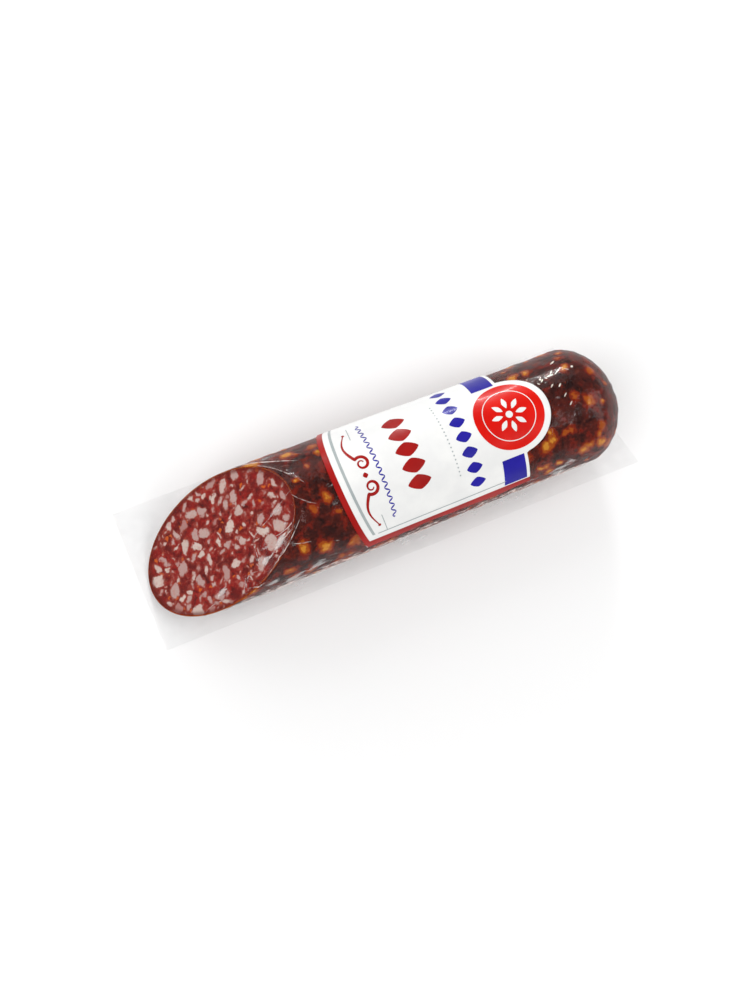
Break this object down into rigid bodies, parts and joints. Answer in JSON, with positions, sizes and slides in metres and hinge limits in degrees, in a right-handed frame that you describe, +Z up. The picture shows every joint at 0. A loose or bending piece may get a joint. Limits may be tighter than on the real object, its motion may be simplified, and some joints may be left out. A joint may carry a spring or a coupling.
{
  "type": "vacuum-packed cured sausage",
  "caption": "Stick of dry cured sausage cut on a slant at one end and rounded at the other, lying in clear film with a flat welded flange and a wrap-over label.",
  "frame": {"origin": "on the surface that the pack lies on, under the middle of the pack's box", "axes": "+X along the sausage from the slanted cut face to the domed end, +Z up from the surface it lies on"},
  "size_m": [0.1924, 0.054, 0.0467],
  "materials": {
    "meat": "satin",
    "casing": "satin",
    "film": "gloss",
    "label": "gloss"
  },
  "bodies": {
    "root": {"sausage_meat": "meat", "casing": "casing", "bottom_film": "film", "top_film": "film", "label": "label"}
  },
  "joints": []
}
